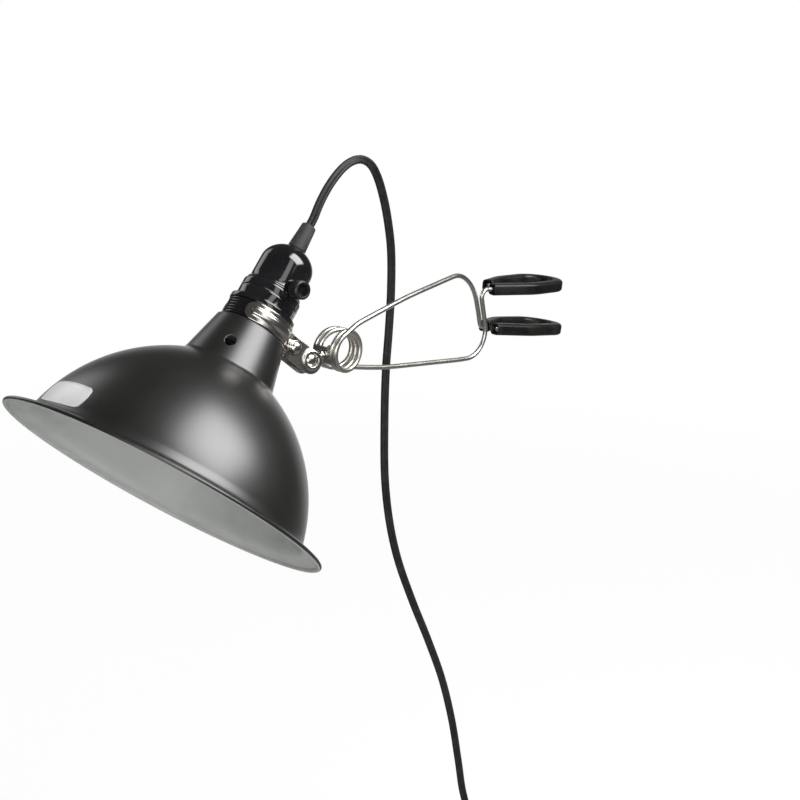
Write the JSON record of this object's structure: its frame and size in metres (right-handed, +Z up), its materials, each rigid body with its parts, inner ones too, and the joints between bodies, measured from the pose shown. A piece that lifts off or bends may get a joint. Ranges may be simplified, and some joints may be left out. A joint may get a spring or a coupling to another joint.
{
  "type": "clip on reading lamp",
  "caption": "Reading lamp with a flared metal shade on a switched screw socket, held by a ball joint on a sprung wire clip, with a flat cord and plug.",
  "frame": {"origin": "centre of the flat underside of the upper jaw's sleeve, at its rounded tip", "axes": "+X out along the jaws over the board, +Z up, +Y to the left when looking along +X; the shade hangs on the -X side"},
  "size_m": [0.4339, 0.2023, 0.5224],
  "materials": {
    "spring_wire": "polished nickel plate",
    "nickel_parts": "polished nickel plate",
    "jaw_rubber": "smooth black, soft sheen",
    "shade_black": "satin black outside, light grey inside",
    "bakelite": "glossy moulded black",
    "grip_plastic": "matt dark grey",
    "cord_pvc": "flat twin cord, black",
    "plug_plastic": "moulded black",
    "tie_plastic": "black strap",
    "porcelain": "unglazed white",
    "brass_contacts": "bare stamped brass",
    "steel_small": "plain steel",
    "lamp_cap": "plain aluminium",
    "opal_glass": "opal white"
  },
  "bodies": {
    "clip": {"clip_coil": "spring_wire", "clip_lower_arm": "spring_wire", "upper_jaw_sleeve": "jaw_rubber", "coil_saddle_outer": "nickel_parts", "coil_saddle_inner": "nickel_parts", "stud_nut": "nickel_parts", "cord_lower": "cord_pvc", "cord_coil": "cord_pvc", "cord_tie": "tie_plastic", "plug_body": "plug_plastic", "plug_pin_left": "nickel_parts", "plug_pin_right": "nickel_parts"},
    "squeeze_arm": {"clip_upper_arm": "spring_wire", "lower_jaw_sleeve": "jaw_rubber"},
    "stud": {"ball_stud": "nickel_parts"},
    "head": {"shade": "shade_black", "shade_ring": "bakelite", "socket_cap": "bakelite", "socket_mantle": "bakelite", "socket_insert": "porcelain", "screw_shell": "brass_contacts", "centre_contact": "brass_contacts", "terminal_screw_left": "brass_contacts", "terminal_screw_right": "brass_contacts", "bulb_glass": "opal_glass", "bulb_cap": "lamp_cap", "bulb_contact": "brass_contacts", "clamp_half_front": "nickel_parts", "clamp_half_rear": "nickel_parts", "clamp_screw": "nickel_parts", "clamp_nut": "nickel_parts", "cord_grip": "grip_plastic", "cord_upper": "cord_pvc"},
    "knob": {"switch_knob": "bakelite", "switch_spindle": "steel_small"}
  },
  "joints": [
    {"name": "clip_squeeze", "type": "hinge", "parent": "clip", "child": "squeeze_arm", "pos_m": [-0.221, 0, -0.0229], "axis": [0, 1, 0], "range_deg": [-6, 16], "stiffness_Nm_per_rad": 10, "deforming": ["clip_coil"]},
    {"name": "ball_twist", "type": "hinge", "parent": "clip", "child": "stud", "pos_m": [-0.24793, 0, -0.02669], "axis": [0.9903, 0, 0.1392], "range_deg": [-60, 60], "deforming": ["cord_lower"]},
    {"name": "head_tilt", "type": "hinge", "parent": "stud", "child": "head", "pos_m": [-0.24793, 0, -0.02669], "axis": [0.2587, 0.9472, -0.1894], "range_deg": [-60, 55], "deforming": ["cord_upper"]},
    {"name": "switch_knob", "type": "hinge", "parent": "head", "child": "knob", "pos_m": [-0.26524, 0.01324, 0.01595], "axis": [-0.1498, -0.9826, 0.1096], "continuous": true}
  ]
}
